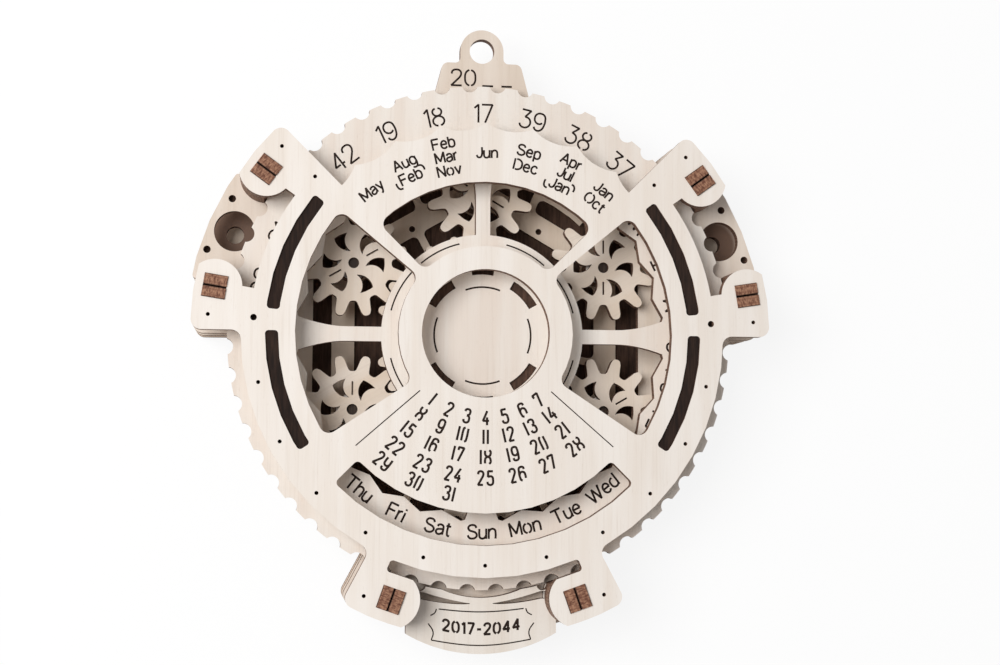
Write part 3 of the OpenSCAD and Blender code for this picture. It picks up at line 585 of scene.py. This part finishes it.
# ---------------------------------------------------------------- years and weekdays
# Two rows burned round the calendar wheel: the last two digits of 28 years near its rim, tops
# outward, and inside them the weekdays, tops towards the centre, one for each year.
WHEEL_FACE = 21.5
LIGHT = {
    "0": (5.6, [
        ("~", (2.3, 10), (.7, 8.6), (0, 5), (.7, 1.4), (2.3, 0)),
        ("~", (3.3, 10), (4.9, 8.6), (5.6, 5), (4.9, 1.4), (3.3, 0))]),
    "1": (2.0, [("-", (0, 8.1), (2, 10), (2, 0))]),
    "2": (5.4, [
        ("~", (.1, 7.3), (.7, 9.2), (2.7, 10), (4.8, 9.1), (5.2, 7.1), (4.3, 5)),
        ("-", (4.3, 5), (0, 0), (5.4, 0))]),
    "3": (5.4, [
        ("-", (.3, 10), (4.8, 10), (2.3, 6.1)),
        ("~", (2.3, 6.1), (4.3, 5.6), (5.4, 4), (5.3, 1.9), (3.9, .3), (2.3, 0), (.8, .6),
             (0, 2))]),
    "4": (5.6, [("-", (4.1, 0), (4.1, 10), (0, 2.9), (2.9, 2.9)), ("-", (4.1, 2.9), (5.6, 2.9))]),
    "5": (5.4, [
        ("-", (4.9, 10), (1, 10), (.6, 5.3)),
        ("~", (.6, 5.3), (2.7, 6.3), (4.7, 5.3), (5.4, 3.2), (4.7, 1), (2.6, 0), (.9, .5),
             (0, 1.8))]),
    "6": (5.6, [
        ("~", (5.2, 8.2), (4.4, 9.5), (2.8, 10), (1, 8.8), (.1, 6.2), (0, 3.2), (.7, .9),
             (2.8, 0), (4.8, .8), (5.6, 3.1), (4.8, 5.3), (2.8, 6.1), (1.2, 5.2))]),
    "7": (5.4, [("-", (0, 10), (5.4, 10), (1.6, 0))]),
    "8": (5.8, [
        ("~", (2.2, 9.9), (.9, 9), (.6, 7.4), (1.5, 6), (2.9, 5.5), (4.9, 4.6), (5.8, 2.8),
             (5.1, .9), (3.6, 0)),
        ("~", (3.6, 9.9), (4.9, 9), (5.2, 7.4), (4.3, 6), (2.9, 5.5), (.9, 4.6), (0, 2.8),
             (.7, .9), (2.2, 0))]),
    "9": (5.6, [
        ("~", (.4, 1.8), (1.2, .5), (2.8, 0), (4.6, 1.2), (5.5, 3.8), (5.6, 6.8), (4.9, 9.1),
             (2.8, 10), (.8, 9.2), (0, 6.9), (.8, 4.7), (2.8, 3.9), (4.4, 4.8))]),
    "-": (3.0, [("-", (0, 4.6), (3, 4.6))]),
}
years = [17, 18, 19, 42, 20, 21, 22, 23, 40, 24, 25, 26, 27, 44,
         28, 29, 30, 31, 43, 32, 33, 34, 35, 41, 36, 37, 38, 39]
strokes = []
for i, year in enumerate(years):
    strokes += label(str(year), LIGHT, gap=1.9, height=5.15, radius=63.9, angle=90 + i * STEP,
                     stretch=1.08)
engrave("year_numbers", "wheel", strokes, width=0.56, z=WHEEL_FACE)
days = ["Thu", "Fri", "Sat", "Sun", "Mon", "Tue", "Wed"]
strokes = []
for i in range(YEARS):
    strokes += label(days[i % len(days)], LETTERS, gap=1.8, height=3.8, radius=55.4,
                     angle=270 + (i - 3) * STEP, outward=False, stretch=1.06)
engrave("weekday_names", "wheel", strokes, width=0.6, z=WHEEL_FACE)

# ---------------------------------------------------------------- hub arcs
# Plain arcs burned into the wheel: four about the hub's bare centre, and two in each quarter
# beside the hub's rim.
HUB_ARC_R, HUB_ARC_HALF, RIM_ARC_R = 13.8, 21, 26.9


def arc(radius, first, last):
    """A bent stroke round the wheel's axis, between two angles."""
    steps = 8
    turns = [math.radians(first + (last - first) * i / steps) for i in range(steps + 1)]
    return ("~", [Vector((radius * math.cos(t), radius * math.sin(t))) for t in turns])


quarters = (0, 90, 180, 270)
strokes = [arc(HUB_ARC_R, turn - HUB_ARC_HALF, turn + HUB_ARC_HALF) for turn in quarters]
engrave("hub_arcs", "wheel", strokes, width=0.5, z=WHEEL_FACE)
strokes = []
for turn in quarters:
    strokes += [arc(RIM_ARC_R, turn + 14.5, turn + 41), arc(RIM_ARC_R, turn + 49, turn + 75.5)]
engrave("hub_rim_arcs", "wheel", strokes, width=0.42, z=WHEEL_FACE)

# ---------------------------------------------------------------- century
# Burned on the mid frame's tab under the hanging loop: the century, and two dashes to write the
# year's last digits on.
MID_FACE = 17.0
DASH_Y = 72.96
strokes = lettered("20", LIGHT, gap=1.9, height=4.65, middle=Vector((-5.4, 75.25)), stretch=1.17)
strokes += [("-", [Vector((start, DASH_Y)), Vector((end, DASH_Y))])
            for start, end in ((0.2, 3.2), (5.8, 8.7))]
engrave("century", "frame", strokes, width=0.56, z=MID_FACE)

# ---------------------------------------------------------------- plaque
# Burned on the detent plate between the feet: the years that the calendar serves, on a line that
# sags, in a border of two long curves with notched corners.
PLAQUE_FACE = 21.5
BEND = 88
line = lettered("2017-2044", LIGHT, gap=3.1, height=3.0, middle=Vector((0, -82.44)), stretch=1.05)
strokes = [(kind, [p + Vector((0, p.x ** 2 / BEND)) for p in points]) for kind, points in line]
engrave("plaque_years", "frame", strokes, width=0.66, z=PLAQUE_FACE)
strokes = [("~", [Vector((x, y - sag * math.cos(math.pi * x / span)))
                  for x in range(-half, half + 1, 4)])
           for half, y, sag, span in ((12, -76.7, 1.0, 26), (14, -85.4, 1.6, 28))]
upper_notch = ((14.3, -78.6), (13.1, -77.9), (12.6, -76.8))
lower_notch = ((14.9, -80.8), (13.5, -83.2), (14.0, -85.4))
for side in (-1, 1):
    strokes += [("~", [Vector((side * x, y)) for x, y in notch])
                for notch in (upper_notch, lower_notch)]
engrave("plaque_border", "frame", strokes, width=0.35, z=PLAQUE_FACE)
